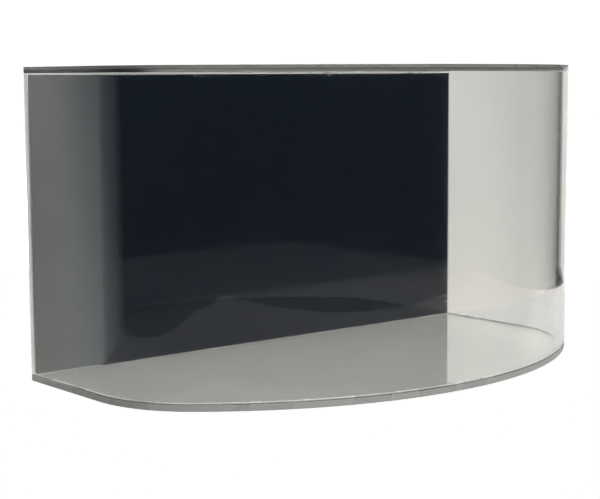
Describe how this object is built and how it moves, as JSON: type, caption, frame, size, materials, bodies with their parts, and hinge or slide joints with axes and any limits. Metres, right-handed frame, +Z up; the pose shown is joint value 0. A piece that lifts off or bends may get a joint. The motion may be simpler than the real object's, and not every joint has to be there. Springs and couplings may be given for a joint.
{
  "type": "display case",
  "caption": "Clear acrylic display case with a D-shaped plan, a bowed front, a glossy black back panel and a lift-off cover.",
  "frame": {"origin": "under the middle of the case, on the surface it stands on", "axes": "+X along the width to the right as seen from the front, +Y towards the black back panel, +Z up"},
  "size_m": [0.4, 0.211, 0.21],
  "materials": {
    "clear_floor": "polished clear acrylic",
    "clear_wall": "polished clear acrylic",
    "clear_top": "polished clear acrylic",
    "panel_black": "glossy black acrylic"
  },
  "bodies": {
    "base": {"bottom_plate": "clear_floor", "back_panel": "panel_black"},
    "cover": {"curved_wall": "clear_wall", "top_plate": "clear_top"}
  },
  "joints": [
    {"name": "cover_lift", "type": "slide", "parent": "base", "child": "cover", "axis": [0, 0, 1], "range_m": [0, 0.24]}
  ]
}
